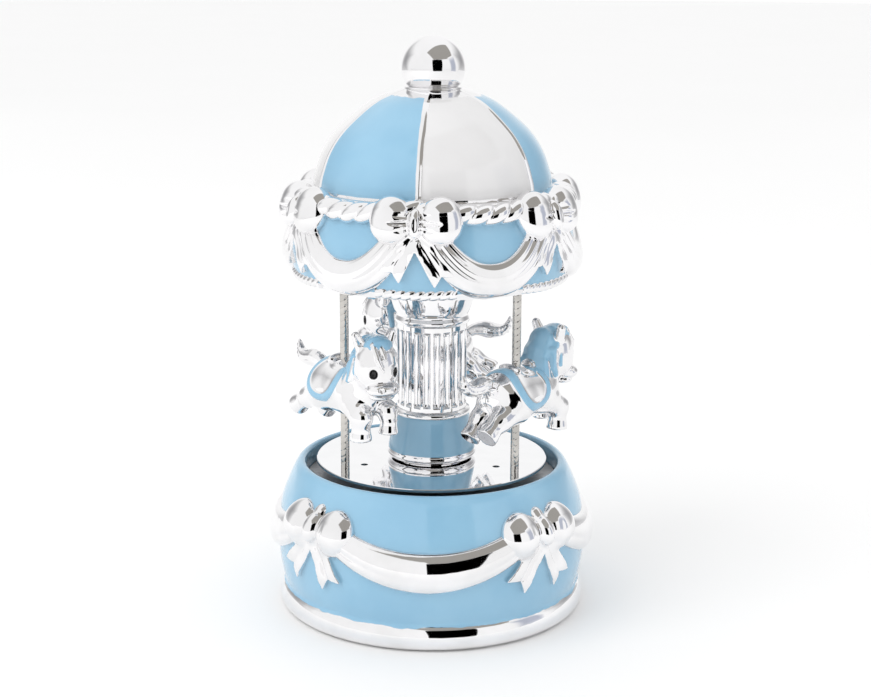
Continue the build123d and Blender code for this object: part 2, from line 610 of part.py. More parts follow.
with BuildPart() as canopy_ceiling:
    with BuildSketch(Plane.XY.offset(CEILING_Z)):
        Circle(44.2)
        Circle(ROD_R, mode=Mode.SUBTRACT)
        for angle in POLE_ANGLES:
            with Locations(around(angle, POLE_RING)):
                Circle(POLE_R, mode=Mode.SUBTRACT)
        with Locations(*[(p.X, p.Y) for p in CEILING_SCREWS]):
            Circle(SCREW_HOLE_R, mode=Mode.SUBTRACT)
    extrude(amount=CEILING_THICK)
save(canopy_ceiling.part, "canopy_ceiling")
screws("ceiling_screws", CEILING_SCREWS, CEILING_Z, 3.6, True)

with BuildPart() as finial:
    with Locations((0, 0, TOP_Z - BALL_R)):
        Sphere(BALL_R)
    with BuildSketch(Plane.XY.offset(CANOPY_TOP)):
        Rectangle(40, 40)
    extrude(amount=-10, mode=Mode.SUBTRACT)
    with BuildSketch(Plane.XY.offset(CANOPY_TOP)):
        Circle(9.2)
    extrude(amount=0.9)
    with BuildSketch(Plane.XY.offset(CANOPY_TOP)):
        Circle(ROD_R)
    extrude(amount=5.6, mode=Mode.SUBTRACT)
save(finial.part, "finial")
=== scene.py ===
import math

import bpy
import numpy as np
from mathutils import Matrix, Vector

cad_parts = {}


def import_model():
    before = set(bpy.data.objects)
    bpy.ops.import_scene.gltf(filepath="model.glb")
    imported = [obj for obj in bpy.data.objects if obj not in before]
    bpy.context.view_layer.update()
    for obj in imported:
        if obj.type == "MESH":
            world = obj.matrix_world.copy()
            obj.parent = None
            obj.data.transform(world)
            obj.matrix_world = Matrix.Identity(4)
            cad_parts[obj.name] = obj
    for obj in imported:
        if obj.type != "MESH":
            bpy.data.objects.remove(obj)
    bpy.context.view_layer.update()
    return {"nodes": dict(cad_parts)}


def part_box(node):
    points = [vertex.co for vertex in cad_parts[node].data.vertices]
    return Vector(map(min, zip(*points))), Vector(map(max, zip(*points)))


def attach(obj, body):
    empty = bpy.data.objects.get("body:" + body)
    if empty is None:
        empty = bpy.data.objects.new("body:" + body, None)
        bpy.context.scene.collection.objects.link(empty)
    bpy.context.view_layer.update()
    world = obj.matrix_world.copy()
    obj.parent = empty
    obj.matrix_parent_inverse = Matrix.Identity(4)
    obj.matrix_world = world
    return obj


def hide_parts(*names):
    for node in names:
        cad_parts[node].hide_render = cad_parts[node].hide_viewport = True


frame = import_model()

MM = 0.001

# ---------------------------------------------------------------- shared dimensions
DISC_TOP = 1000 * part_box("mirror_disc")[1][2]
DOME_Z = 1000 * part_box("canopy_dome")[0][2]
TOP_Z = 1000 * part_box("finial")[1][2]
FIRST_BOW = -6.5  # the canopy's front bow and the dome's front seam stand at this angle
DOME_PANEL = 60.0
BOW_ANGLES = [FIRST_BOW + DOME_PANEL * i for i in range(6)]
BASE_BOW_ANGLES = [-46.5 + 90 * i for i in range(4)]
POLE_ANGLES = (-62.0, 58.0, 178.0)
HORSE_Z = (82.3, 80.3, 85.0)
HORSE_YAW = (10.0, -10.0, 0.0)
POLE_BEHIND = 2.8  # how far the pole stands behind the middle of a pony's body


# ---------------------------------------------------------------- materials
class Graph:
    """A new material and its node tree."""

    def __init__(self, name):
        self.material = bpy.data.materials.new(name)
        self.material.use_nodes = True
        self.nodes = self.material.node_tree.nodes
        self.links = self.material.node_tree.links
        self.nodes.clear()
        self.place = self.nodes.new("ShaderNodeTexCoord").outputs["Object"]

    def plug(self, value, socket):
        if isinstance(value, (int, float)):
            socket.default_value = value
        elif isinstance(value, tuple):
            socket.default_value = (*value, 1.0)
        else:
            self.links.new(value, socket)

    def math(self, operation, a, b=None):
        node = self.nodes.new("ShaderNodeMath")
        node.operation = operation
        self.plug(a, node.inputs[0])
        if b is not None:
            self.plug(b, node.inputs[1])
        return node.outputs[0]

    def axes(self):
        node = self.nodes.new("ShaderNodeSeparateXYZ")
        self.plug(self.place, node.inputs[0])
        return node.outputs

    def ramp(self, value, low, high, to_low=0.0, to_high=1.0):
        node = self.nodes.new("ShaderNodeMapRange")
        node.interpolation_type = "SMOOTHSTEP"
        self.plug(value, node.inputs["Value"])
        node.inputs["From Min"].default_value = low
        node.inputs["From Max"].default_value = high
        node.inputs["To Min"].default_value = to_low
        node.inputs["To Max"].default_value = to_high
        return node.outputs["Result"]

    def noise(self, scale, detail=2.0):
        node = self.nodes.new("ShaderNodeTexNoise")
        node.inputs["Scale"].default_value = scale
        node.inputs["Detail"].default_value = detail
        self.plug(self.place, node.inputs["Vector"])
        return node.outputs["Fac"]

    def wobble(self, scale, size):
        """Noise about zero, in metres, that makes a painted edge uneven."""
        return self.math("MULTIPLY", self.math("SUBTRACT", self.noise(scale, 3.0), 0.5), size)

    def bump(self, height, strength, distance=0.001):
        node = self.nodes.new("ShaderNodeBump")
        node.inputs["Strength"].default_value = strength
        node.inputs["Distance"].default_value = distance
        self.plug(height, node.inputs["Height"])
        return node.outputs["Normal"]

    def tint(self, value, dark, light):
        node = self.nodes.new("ShaderNodeMix")
        node.data_type = "RGBA"
        self.plug(value, node.inputs["Factor"])
        self.plug(dark, node.inputs["A"])
        self.plug(light, node.inputs["B"])
        return node.outputs["Result"]

    def shader(self, color, roughness, metallic=0.0, coat=0.0, normal=None):
        node = self.nodes.new("ShaderNodeBsdfPrincipled")
        node.inputs["Metallic"].default_value = metallic
        node.inputs["Coat Weight"].default_value = coat
        node.inputs["Coat Roughness"].default_value = 0.03
        self.plug(color, node.inputs["Base Color"])
        self.plug(roughness, node.inputs["Roughness"])
        if normal is not None:
            self.plug(normal, node.inputs["Normal"])
        return node.outputs[0]

    def blend(self, factor, first, second):
        node = self.nodes.new("ShaderNodeMixShader")
        for value, socket in zip((factor, first, second), node.inputs):
            self.plug(value, socket)
        return node.outputs[0]

    def attribute(self, name):
        node = self.nodes.new("ShaderNodeAttribute")
        node.attribute_name = name
        return node.outputs["Fac"]

    def finish(self, surface):
        output = self.nodes.new("ShaderNodeOutputMaterial")
        self.plug(surface, output.inputs["Surface"])
        return self.material


SILVER = (0.93, 0.925, 0.935)
SILVER_DULL = (0.86, 0.855, 0.86)
BLUE = (0.285, 0.515, 0.69)
BLUE_DEEP = (0.25, 0.475, 0.655)
PEARL = (0.74, 0.735, 0.74)
PEARL_DEEP = tuple(0.95 * channel for channel in PEARL)
PAINT_EDGE = 0.25  # width over which enamel gives way to silver


def silver_shader(g, ripple=0.10):
    """Bright plating over a hand-polished casting: soft waves, a few pits and faint cloudiness."""
    waves = g.noise(140.0, 1.5)
    pits = g.ramp(g.noise(1500.0), 0.24, 0.30)
    height = g.math("ADD", waves, g.math("MULTIPLY", pits, 0.03))
    cloud = g.noise(60.0, 3.0)
    color = g.tint(g.ramp(cloud, 0.35, 0.65), SILVER_DULL, SILVER)
    roughness = g.ramp(cloud, 0.3, 0.7, 0.075, 0.035)
    return g.shader(color, roughness, metallic=1.0, normal=g.bump(height, ripple))


def enamel_shader(g):
    """Poured blue enamel: a deep gloss coat over a faintly uneven colour."""
    color = g.tint(g.ramp(g.noise(45.0, 3.0), 0.3, 0.7), BLUE_DEEP, BLUE)
    roughness = g.ramp(g.noise(300.0), 0.3, 0.7, 0.16, 0.10)
    return g.shader(color, roughness, coat=0.35, normal=g.bump(g.noise(90.0, 1.0), 0.06))


def silver_material():
    g = Graph("silver_plate")
    return g.finish(silver_shader(g))


def banded_enamel(name, low, high, unevenness):
    """Silver below low and above high, blue enamel between, with a hand-painted edge."""
    g = Graph(name)
    height = g.math("ADD", g.axes()["Z"], g.wobble(160.0, unevenness))
    above = g.ramp(height, low * MM, (low + PAINT_EDGE) * MM)
    below = g.ramp(height, high * MM, (high + PAINT_EDGE) * MM, 1.0, 0.0)
    mask = g.math("MULTIPLY", above, below)
    return g.finish(g.blend(mask, silver_shader(g), enamel_shader(g)))


def dome_material():
    """Six enamel panels, blue and pearl by turns, with silver left at the seams and round the top."""
    g = Graph("dome_enamel")
    x, y, z = g.axes()
    angle = g.math("ARCTAN2", x, g.math("MULTIPLY", y, -1.0))
    turned = g.math("ADD", angle, math.radians(-FIRST_BOW) + 4 * math.pi)
    panel = g.math("DIVIDE", turned, math.radians(DOME_PANEL))
    from_middle = g.math("ABSOLUTE", g.math("SUBTRACT", g.math("FRACT", panel), 0.5))
    to_seam = g.math("SUBTRACT", 0.5, from_middle)
    radius = g.math("SQRT", g.math("ADD", g.math("MULTIPLY", x, x), g.math("MULTIPLY", y, y)))
    gap = g.math("MULTIPLY", g.math("MULTIPLY", to_seam, radius), math.radians(DOME_PANEL))
    wobble = g.wobble(180.0, 0.0006)
    away = g.ramp(g.math("ADD", gap, wobble), 0.00085, 0.0011)
    under_cap = g.ramp(g.math("ADD", z, g.math("MULTIPLY", wobble, 3.0)), 0.1802, 0.1805, 1.0, 0.0)
    over_foot = g.ramp(g.math("ADD", z, wobble), 0.1497, 0.1500)
    mask = g.math("MULTIPLY", g.math("MULTIPLY", away, under_cap), over_foot)
    blue_panel = g.math("GREATER_THAN", g.math("FRACT", g.math("MULTIPLY", panel, 0.5)), 0.5)
    cloud = g.ramp(g.noise(45.0, 3.0), 0.3, 0.7)
    color = g.tint(blue_panel, g.tint(cloud, PEARL_DEEP, PEARL), g.tint(cloud, BLUE_DEEP, BLUE))
    enamel = g.shader(color, 0.12, coat=0.35, normal=g.bump(g.noise(80.0, 1.0), 0.06))
    return g.finish(g.blend(mask, silver_shader(g), enamel))


def horse_material():
    """Silver pony with blue enamel where the mesh's own blue distance is negative, and near-black painted
    shade in the eye sockets and nostrils.
    """
    g = Graph("horse_silver_and_enamel")
    is_blue = g.ramp(g.attribute("blue"), -0.12, 0.12, 1.0, 0.0)
    # Near-black below is painted shade in the carved eye sockets and nostrils.
    painted_socket_shade = g.ramp(g.attribute("dark"), -0.1, 0.1, 1.0, 0.0)
    painted = g.blend(is_blue, silver_shader(g, 0.12), enamel_shader(g))
    eye = g.shader((0.006, 0.006, 0.007), g.ramp(g.noise(300.0), 0.3, 0.7, 0.1, 0.2))
    return g.finish(g.blend(painted_socket_shade, painted, eye))


def metal_material(name, light, dark, rough, grain_scale, grain):
    """Plain machined metal with a fine grain."""
    g = Graph(name)
    color = g.tint(g.ramp(g.noise(120.0, 4.0), 0.35, 0.65), dark, light)
    fine = g.noise(grain_scale, 3.0)
    roughness = g.ramp(fine, 0.3, 0.7, rough * 0.8, rough * 1.25)
    return g.finish(g.shader(color, roughness, metallic=1.0, normal=g.bump(fine, grain, 0.0005)))


def plain_material(name, light, dark, rough, scale, grain):
    """Paint or felt: two close colours over a fine texture."""
    g = Graph(name)
    fine = g.noise(scale, 4.0)
    color = g.tint(g.ramp(fine, 0.35, 0.65), dark, light)
    return g.finish(g.shader(color, rough, normal=g.bump(fine, grain, 0.0005)))


silver = silver_material()
base_enamel = banded_enamel("base_enamel", 8.5, 60.0, 0.0016)
valance_enamel = banded_enamel("valance_enamel", 120.6, 145.5, 0.0008)
pedestal_enamel = banded_enamel("pedestal_enamel", 56.2, 69.3, 0.0010)
dome_enamel = dome_material()
horse_paint = horse_material()
mirror = metal_material("mirror_disc", (0.93, 0.93, 0.94), (0.91, 0.91, 0.92), 0.02, 900.0, 0.01)
nickel = metal_material("pole_nickel", (0.62, 0.60, 0.57), (0.50, 0.485, 0.46), 0.13, 900.0, 0.04)
steel = metal_material("plain_steel", (0.60, 0.61, 0.63), (0.50, 0.51, 0.53), 0.30, 1600.0, 0.10)
brass = metal_material("brass", (0.80, 0.58, 0.26), (0.68, 0.47, 0.19), 0.26, 1400.0, 0.10)
zinc = metal_material("cast_zinc", (0.52, 0.52, 0.53), (0.42, 0.42, 0.43), 0.45, 700.0, 0.25)
dark_paint = plain_material("dark_paint", (0.075, 0.078, 0.085), (0.05, 0.052, 0.058), 0.45, 900.0, 0.15)
felt = plain_material("felt", (0.045, 0.05, 0.06), (0.02, 0.022, 0.028), 0.95, 2500.0, 0.8)


# ---------------------------------------------------------------- mesh helpers
def piece(name, points, faces, body, material, smooth_angle=50.0):
    """Makes a mesh piece from points in millimetres and gives it its body and material."""
    mesh = bpy.data.meshes.new(name)
    corners = [tuple(p) for p in np.asarray(points) * MM]
    mesh.from_pydata(corners, [], [tuple(int(i) for i in f) for f in faces])
    mesh.validate()
    mesh.update()
    mesh.shade_smooth()
    mesh.set_sharp_from_angle(angle=math.radians(smooth_angle))
    mesh.materials.append(material)
    thing = bpy.data.objects.new(name, mesh)
    bpy.context.scene.collection.objects.link(thing)
    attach(thing, body)
    return thing


def grid_faces(rows, columns, wrap_rows, wrap_columns):
    """Quads over a grid of points, row by row."""
    faces = []
    for i in range(rows if wrap_rows else rows - 1):
        for j in range(columns if wrap_columns else columns - 1):
            below, right = (i + 1) % rows, (j + 1) % columns
            faces.append((i * columns + j, below * columns + j, below * columns + right, i * columns + right))
    return faces


def end_caps(rows, columns):
    """Faces that close the first and the last row of a tube."""
    return [tuple(range(columns))[::-1], tuple((rows - 1) * columns + i for i in range(columns))]


def smooth_line(points, count):
    """A smooth curve through points, as count samples evenly spread along it."""
    p = np.array(points, float)
    p = np.vstack([2 * p[0] - p[1], p, 2 * p[-1] - p[-2]])
    dense = []
    for i in range(1, len(p) - 2):
        t = np.linspace(0, 1, 40, endpoint=False)[:, None]
        a, b, c, d = p[i - 1:i + 3]
        dense.append(0.5 * (2 * b + (c - a) * t + (2 * a - 5 * b + 4 * c - d) * t ** 2
                            + (3 * b - a - 3 * c + d) * t ** 3))
    dense = np.vstack(dense + [p[-2:-1]])
    length = np.concatenate([[0], np.cumsum(np.linalg.norm(np.diff(dense, axis=0), axis=1))])
    steps = np.linspace(0, length[-1], count)
    return np.column_stack([np.interp(steps, length, dense[:, i]) for i in range(dense.shape[1])])


def on_circle(angle, radius, z):
    """Points at those angles in degrees from the front, radii and heights."""
    a = np.radians(angle)
    return np.stack(np.broadcast_arrays(radius * np.sin(a), -radius * np.cos(a), z), axis=-1)


def lathe(name, profile, body, material, segments=360, closed=True, shape=None, smooth_angle=50.0):
    """Turns a profile of (radius, z) about the axis. shape(angle, radius, z) may reshape the radius."""
    profile = np.asarray(profile, float)
    angles = np.arange(segments) * 360 / segments
    a, r = np.meshgrid(angles, profile[:, 0], indexing="ij")
    z = np.broadcast_to(profile[:, 1], r.shape)
    if shape is not None:
        r = shape(a, r, z)
    points = on_circle(a, r, z).reshape(-1, 3)
    faces = grid_faces(segments, len(profile), True, closed)
    return piece(name, points, faces, body, material, smooth_angle)


# ---------------------------------------------------------------- solid shapes as distance fields
def ball(p, centre, radius):
    return np.linalg.norm(p - np.array(centre), axis=-1) - radius


def egg(p, centre, radii):
    q = p - np.array(centre)
    near = np.linalg.norm(q / np.array(radii), axis=-1)
    far = np.linalg.norm(q / np.array(radii) ** 2, axis=-1)
    return near * (near - 1) / np.maximum(far, 1e-6)


def limb(p, start, end, r0, r1):
    a, b = np.array(start, float), np.array(end, float)
    t = np.clip(((p - a) @ (b - a)) / ((b - a) @ (b - a)), 0, 1)
    return np.linalg.norm(p - (a + t[..., None] * (b - a)), axis=-1) - (r0 + (r1 - r0) * t)


def melt(softness, *fields):
    """Joins fields with a soft fillet."""
    joined = fields[0]
    for f in fields[1:]:
        h = np.clip(0.5 + 0.5 * (f - joined) / softness, 0, 1)
        joined = f + (joined - f) * h - softness * h * (1 - h)
    return joined


def carve(softness, field, tool):
    """Takes a tool out of a field with a soft edge."""
    return -melt(softness, -field, tool)


def surface(field, low, high, step):
    """The zero surface of a field as points and quads, on a grid of that step."""
    axes = [np.arange(a, b + step, step) for a, b in zip(low, high)]
    grid = np.stack(np.meshgrid(*axes, indexing="ij"), axis=-1)
    f = field(grid)
    inside = f < 0
    cells = tuple(n - 1 for n in f.shape)
    total, count, crossings = np.zeros(cells + (3,)), np.zeros(cells), []
    for a in range(3):
        b, c = (a + 1) % 3, (a + 2) % 3
        lower = tuple(slice(0, -1) if i == a else slice(None) for i in range(3))
        upper = tuple(slice(1, None) if i == a else slice(None) for i in range(3))
        cross = inside[lower] != inside[upper]
        index = np.argwhere(cross)
        point = index.astype(float)
        point[:, a] += f[lower][cross] / (f[lower][cross] - f[upper][cross])
        for db, dc in ((0, 0), (0, 1), (1, 0), (1, 1)):
            cell = index.copy()
            cell[:, b] -= db
            cell[:, c] -= dc
            np.add.at(total, tuple(cell.T), point)
            np.add.at(count, tuple(cell.T), 1)
        crossings.append((index, inside[lower][cross]))
    used = count > 0
    number = -np.ones(cells, int)
    number[used] = np.arange(used.sum())
    points = total[used] / count[used][:, None] * step + np.array([axis[0] for axis in axes])
    faces = []
    for a, (index, below) in enumerate(crossings):
        b, c = (a + 1) % 3, (a + 2) % 3
        corners = []
        for db, dc in ((1, 1), (0, 1), (0, 0), (1, 0)):
            cell = index.copy()
            cell[:, b] -= db
            cell[:, c] -= dc
            corners.append(number[tuple(cell.T)])
        quads = np.stack(corners, axis=1)
        quads[~below] = quads[~below][:, ::-1]
        faces.append(quads)
    for _ in range(2):
        value = field(points)
        slope = np.stack([(field(points + d) - field(points - d)) / 0.02 for d in 0.01 * np.eye(3)], axis=-1)
        points = points - np.clip(value, -0.3 * step, 0.3 * step)[:, None] * slope / np.maximum(
            (slope ** 2).sum(axis=-1), 0.25)[:, None]
    return points, np.vstack(faces)


# ---------------------------------------------------------------- drum base
BASE_WALL = smooth_line([(52.4, 9.8), (53.4, 14), (54.3, 20), (54.5, 26), (54.1, 32), (53.1, 38.5),
                         (50.8, 44.8), (48.6, 49.6), (47.2, 51.6), (46.0, 52.3), (45.0, 52.1),
                         (44.5, 51.2)], 90)
FOOT = smooth_line([(50.9, 0.45), (52.4, 0.6), (53.9, 2.2), (54.2, 4.8), (53.5, 7.6), (52.6, 8.9),
                    (52.4, 9.8)], 28)
BASE_INSIDE = [(44.4, 44.5), (38.0, 44.5), (38.0, 41.5), (49.2, 41.5), (49.5, 16.0), (42.5, 16.0),
               (42.5, 13.0), (46.6, 13.0), (46.6, 0.45), (47.4, 0.45), (47.4, 1.0), (49.8, 1.0), (49.8, 0.45)]
BASE_BOW_Z = 38.2
GARLAND_REACH = 37.0  # half the arc length of a base garland
RELIEF_STEP = 0.36  # grid of the bows' surfaces


def wall_radius(outline):
    """Radius of an outline at a height."""
    order = np.argsort(outline[:, 1])
    return lambda z: np.interp(z, outline[order, 1], outline[order, 0])


base_radius = wall_radius(BASE_WALL[BASE_WALL[:, 0] > 46.0])


def base_body():
    profile = np.vstack([FOOT, BASE_WALL[1:], BASE_INSIDE])
    shell = lathe("base_body", profile, "base", base_enamel)
    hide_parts("base_shell")


def strip(name, line, half_width, height, sunk, radius, angle, body, material, folds, across=36):
    """A relief band laid on a round wall.

    line is (arc length, z) points about the angle. half_width and height hold one value per point.
    folds(q, t) scales the height across the band (q from -1 to 1) and along it (t from -1 to 1).
    """
    line = np.asarray(line, float)
    along = np.gradient(line, axis=0)
    along /= np.linalg.norm(along, axis=1)[:, None]
    side = np.column_stack([-along[:, 1], along[:, 0]])
    q = np.cos(np.linspace(math.pi, 0, across))
    t = np.linspace(-1, 1, len(line))[:, None]
    u = line[:, 0:1] + side[:, 0:1] * half_width[:, None] * q
    z = line[:, 1:2] + side[:, 1:2] * half_width[:, None] * q
    rise = height[:, None] * np.sqrt(np.clip(1 - q ** 2, 0, 1)) ** 0.9 * folds(q[None, :], t)
    reference = radius(line[:, 1].mean())
    turn = angle + np.degrees(u / reference)
    outer = on_circle(turn, radius(z) - sunk + rise, z)
    inner = on_circle(turn, radius(z) - sunk - 0.8, z)
    points = np.concatenate([outer, inner[:, ::-1]], axis=1)
    rows, columns = points.shape[:2]
    faces = grid_faces(rows, columns, False, True) + end_caps(rows, columns)
    return piece(name, points.reshape(-1, 3), [f[::-1] for f in faces], body, material, 60.0)


def base_garland(number, angle):
    """The thick draped swag between two bows, with long folds that fade towards its middle."""
    u = np.linspace(-GARLAND_REACH, GARLAND_REACH, 150)
    w = np.abs(u) / GARLAND_REACH
    line = np.column_stack([u, 28.3 + 10.5 * w ** 2])

    def folds(q, t):
        strong = 0.15 + 0.85 * np.abs(t) ** 1.6
        return 1 - 0.22 * np.exp(-((q + 0.30 + 0.10 * t) / 0.16) ** 2) * strong

    strip(f"base_garland_{number}", line, 7.1 - 2.7 * w ** 1.6, 4.3 - 0.6 * w, 0.6, base_radius, angle, "base",
          silver, folds)


def wrapped(name, field, low, high, angle, z0, radius, body):
    """A silver shape given as a field in (along the wall, out, up), wrapped round a wall."""
    points, faces = surface(field, low, high, RELIEF_STEP)
    z = z0 + points[:, 2]
    turn = angle + np.degrees(points[:, 0] / radius(z0))
    return piece(name, on_circle(turn, radius(z) + points[:, 1], z), faces, body, silver, 75.0)


def ribbon_tail(p, start, end, r0, r1, notch):
    """A flat ribbon end with a groove down it and a forked tip."""
    a, b = np.array(start, float), np.array(end, float)
    ahead = (b - a) / np.linalg.norm(b - a)
    side = np.array([-ahead[2], 0, ahead[0]])
    q = p - a
    along, across = q @ ahead, q @ side
    length = np.linalg.norm(b - a)
    t = np.clip(along / length, 0, 1)
    half = r0 + (r1 - r0) * t
    thick = 1.5 - 0.5 * np.exp(-(across / 0.9) ** 2) + 0.25 * np.sin(3 * t * math.pi)
    end_cut = along - length + notch * (1 - np.abs(across) / r1)
    flat = np.maximum(np.maximum(np.abs(across) - half, end_cut), -along)
    return np.maximum(flat, np.abs(q[..., 1]) - thick) - 0.35


def base_bow_field(p):
    x = np.abs(p[..., 0])
    m = np.stack([x, p[..., 1], p[..., 2]], axis=-1)
    lobe = egg(m, (9.0, 0.3, 0.5), (7.4, 5.4, 7.2))
    lobe = carve(0.9, lobe, limb(m, (6.2, 6.2, 6.5), (5.2, 5.6, -5.5), 1.1, 0.5))
    under = egg(m, (8.4, -0.6, -4.6), (6.6, 3.8, 3.8))
    knot = egg(p, (0, 1.6, 0.4), (3.1, 4.2, 5.2))
    pinch = limb(p, (0, -0.4, 5.2), (0, -0.4, -3.6), 2.6, 3.0)
    tails = np.minimum(ribbon_tail(p, (0.8, -0.2, -3.0), (8.4, -0.2, -18.0), 2.4, 3.9, 2.6),
                       ribbon_tail(p, (-0.8, -0.2, -3.0), (-11.6, -0.2, -16.8), 2.4, 4.0, 2.6))
    return melt(0.7, melt(1.0, lobe, under), knot, pinch, tails)


def base_bow(number, angle):
    wrapped(f"base_bow_{number}", base_bow_field, (-18, -5, -22), (18, 8, 11), angle, BASE_BOW_Z, base_radius,
            "base")


base_body()
for number, angle in enumerate(BASE_BOW_ANGLES, 1):
    base_bow(number, angle)
    base_garland(number, angle + 45)

# ---------------------------------------------------------------- canopy valance
BELL = smooth_line([(46.3, 118.5), (47.9, 121.5), (48.7, 127.0), (48.5, 133.0), (47.3, 139.0), (46.0, 143.5),
                    (45.4, 147.0)], 50)
BELL_INSIDE = [(45.2, 148.0), (44.2, 149.0), (36.0, 149.0), (36.0, 147.4), (42.0, 147.4), (43.4, 142.5),
               (44.6, 138.0), (44.6, 124.5), (40.0, 123.6), (40.0, 121.0), (44.4, 121.0), (44.4, 118.45),
               (45.4, 118.4)]
CANOPY_BOW_Z = 144.0
SWAG_REACH = 21.5  # half the arc length of a canopy swag
bell_radius = wall_radius(BELL)


def valance_body():
    shell = lathe("valance_body", np.vstack([BELL, BELL_INSIDE]), "carousel", valance_enamel)
    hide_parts("canopy_valance")


def rope(name, radius, z_of, tube, depth, strands, turns, start, end, body, count):
    """A twisted rope round the wall between two angles. tube is half its height, depth half its thickness."""
    a = np.linspace(start, end, count)[:, None]
    phi = np.linspace(0, 2 * math.pi, 28, endpoint=False)[None, :]
    lay = np.abs(np.sin(0.5 * (strands * phi - turns * np.radians(a))))
    thick = 0.74 + 0.26 * lay ** 0.55
    points = on_circle(a, radius + depth * thick * np.cos(phi), z_of(a) + tube * thick * np.sin(phi))
    rows, columns = points.shape[:2]
    whole = abs(end - start) > 359
    faces = grid_faces(rows, columns, whole, True)
    if not whole:
        faces += end_caps(rows, columns)
    return piece(name, points.reshape(-1, 3), faces, body, silver, 70.0)


def canopy_rope():
    """The thick rope round the dome's foot, highest behind each bow."""
    count = 1440

    def height(a):
        return 147.3 - 0.9 * (1 - np.cos(np.radians(6 * (a - FIRST_BOW))))

    rope("canopy_rope", 45.2, height, 3.7, 4.3, 2, 48, 0, 360 - 360 / count, "carousel", count)


def canopy_swag(number, angle):
    """Pleated drapery hanging from bow to bow."""
    u = np.linspace(-SWAG_REACH, SWAG_REACH, 120)
    w = np.abs(u) / SWAG_REACH
    line = np.column_stack([u, 124.5 + 17.0 * w ** 2.2])

    def folds(q, t):
        strong = 0.12 + 0.88 * np.abs(t) ** 1.5
        cuts = sum(depth * np.exp(-((q - at - 0.10 * t * t) / 0.15) ** 2) for at, depth in
                   ((-0.45, 0.30), (0.05, 0.34), (0.50, 0.24)))
        return 1 - cuts * strong

    strip(f"canopy_swag_{number}", line, 6.3 - 1.7 * w ** 2, 4.3 - 0.4 * w, 0.8, bell_radius, angle,
          "carousel", silver, folds)


def canopy_trim(number, angle):
    """The short rope that closes the lower enamel field under each bow."""
    def height(a):
        return 120.3 + 0.4 * ((a - angle) / 15) ** 2

    rope(f"canopy_trim_{number}", 46.9, height, 1.9, 1.9, 2, 96, angle - 16, angle + 16, "carousel", 200)


def canopy_bow_field(p):
    x = np.abs(p[..., 0])
    m = np.stack([x, p[..., 1], p[..., 2]], axis=-1)
    lobe = egg(m, (7.7, 0.8, 0.4), (7.2, 6.4, 7.8))
    for height, reach in ((2.8, 6.0), (0.2, 7.6), (-2.6, 6.0)):
        lobe = carve(0.5, lobe, limb(m, (2.2, 5.3, height * 0.8), (reach, 7.5, height), 0.95, 0.35))
    knot = egg(p, (0, 2.4, -0.2), (2.3, 4.6, 5.0))
    knot = carve(0.5, knot, limb(p, (0.3, 7.1, -5), (0.1, 7.1, 5), 0.7, 0.7))
    tails = np.minimum(ribbon_tail(p, (0.9, 0.6, -5.0), (8.6, -0.2, -18.4), 2.2, 3.2, 2.0),
                       ribbon_tail(p, (-0.9, 0.6, -5.0), (-7.4, -0.2, -17.2), 2.2, 3.2, 2.0))
    inner = np.minimum(limb(p, (0.8, 0.4, -5), (2.8, 0.2, -12), 1.1, 0.8),
                       limb(p, (-0.8, 0.4, -5), (-2.6, 0.2, -12), 1.1, 0.8))
    return melt(0.7, lobe, knot, tails, inner)


def canopy_bow(number, angle):
    wrapped(f"canopy_bow_{number}", canopy_bow_field, (-16, -7, -23), (16, 9, 9.4), angle, CANOPY_BOW_Z,
            bell_radius, "carousel")


valance_body()
canopy_rope()
for number, angle in enumerate(BOW_ANGLES, 1):
    canopy_bow(number, angle)
    canopy_swag(number, angle + 30)
    canopy_trim(number, angle)

# ---------------------------------------------------------------- dome and finial
DOME = smooth_line([(41.0, DOME_Z), (40.8, 151.4), (40.1, 154.6), (37.5, 161.6), (33.2, 168.0), (27.4, 173.4),
                    (20.9, 178.2), (15.0, 180.8), (10.4, 182.3)], 100)
DOME_INSIDE = [(8.8, 182.4), (2.0, 182.4), (2.0, 179.5), (8.0, 179.4), (19.5, 175.6), (25.8, 171.3),
               (31.2, 166.2), (35.4, 160.4), (37.8, 153.6), (38.4, DOME_Z)]


def dome():
    """The dome, with a low rib along each seam of its enamel."""
    def ribs(a, r, z):
        from_seam = (a - FIRST_BOW + 30) % DOME_PANEL - 30
        arc = np.radians(from_seam) * r
        outside = np.isin(z, DOME[:, 1])
        return r + np.where(outside, 0.55 * np.exp(-(arc / 0.72) ** 2), 0)

    shell = lathe("dome_shell", np.vstack([DOME, DOME_INSIDE]), "carousel", dome_enamel, 1080,
                  shape=ribs, smooth_angle=60.0)
    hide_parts("canopy_dome")


def finial():
    radius = 0.5 * 1000 * (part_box("finial")[1][0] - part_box("finial")[0][0])
    centre = TOP_Z - radius
    turn = np.radians(np.linspace(90, -48, 60))
    sphere = np.column_stack([radius * np.cos(turn), centre + radius * np.sin(turn)])
    ring = smooth_line([(8.5, 182.9), (9.5, 183.0), (9.9, 182.5), (9.5, 182.0), (10.4, 181.6), (12.6, 180.9),
                        (15.2, 180.3)], 40)
    profile = np.vstack([sphere[sphere[:, 1] > 183.4], ring, [(15.0, 179.6), (2.0, 179.6)]])
    profile[0] = (0.02, TOP_Z)
    ball_piece = lathe("finial_ball", profile[::-1], "carousel", silver, 180, closed=True)
    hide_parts("finial")


dome()
finial()


# ---------------------------------------------------------------- column
SHAFT_FOOT = 71.4
SHAFT_TOP = 101.4
COLUMN_BORE = 9.0


